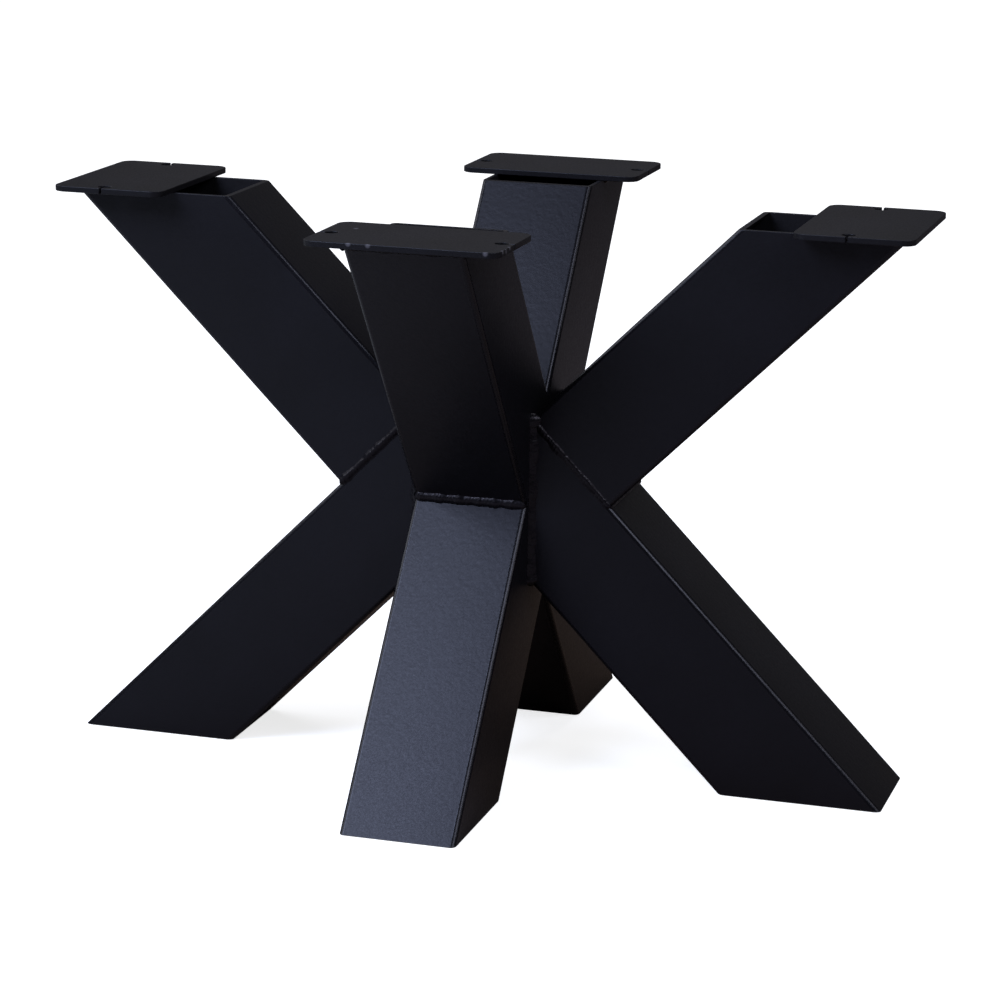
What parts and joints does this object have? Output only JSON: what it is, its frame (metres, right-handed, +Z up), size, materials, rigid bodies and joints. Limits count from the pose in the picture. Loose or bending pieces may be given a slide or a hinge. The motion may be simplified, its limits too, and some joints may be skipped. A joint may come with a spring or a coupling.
{
  "type": "spider table base",
  "caption": "Low welded table base: square tube legs and arms spread from one crown, and flat drilled plates on the arm ends carry a table top.",
  "frame": {"origin": "on the floor, below the middle of the crown", "axes": "+Z up, +X to the right along the longer frame, -Y to the front along the shorter frame"},
  "size_m": [0.596, 0.418, 0.393],
  "materials": {
    "tube_coat": "fine textured satin black powder coat",
    "plate_coat": "fine textured matt black powder coat",
    "weld_coat": "smooth satin black powder coat over a weld bead"
  },
  "bodies": {
    "root": {"leg_front": "tube_coat", "arm_front": "tube_coat", "plate_front": "plate_coat", "weld_arm_front": "weld_coat", "weld_plate_front": "weld_coat", "leg_rear": "tube_coat", "arm_rear": "tube_coat", "plate_rear": "plate_coat", "weld_arm_rear": "weld_coat", "weld_plate_rear": "weld_coat", "leg_left": "tube_coat", "arm_left": "tube_coat", "plate_left": "plate_coat", "weld_arm_left": "weld_coat", "weld_plate_left": "weld_coat", "weld_leg_left": "weld_coat", "leg_right": "tube_coat", "arm_right": "tube_coat", "plate_right": "plate_coat", "weld_arm_right": "weld_coat", "weld_plate_right": "weld_coat", "weld_leg_right": "weld_coat"}
  },
  "joints": []
}
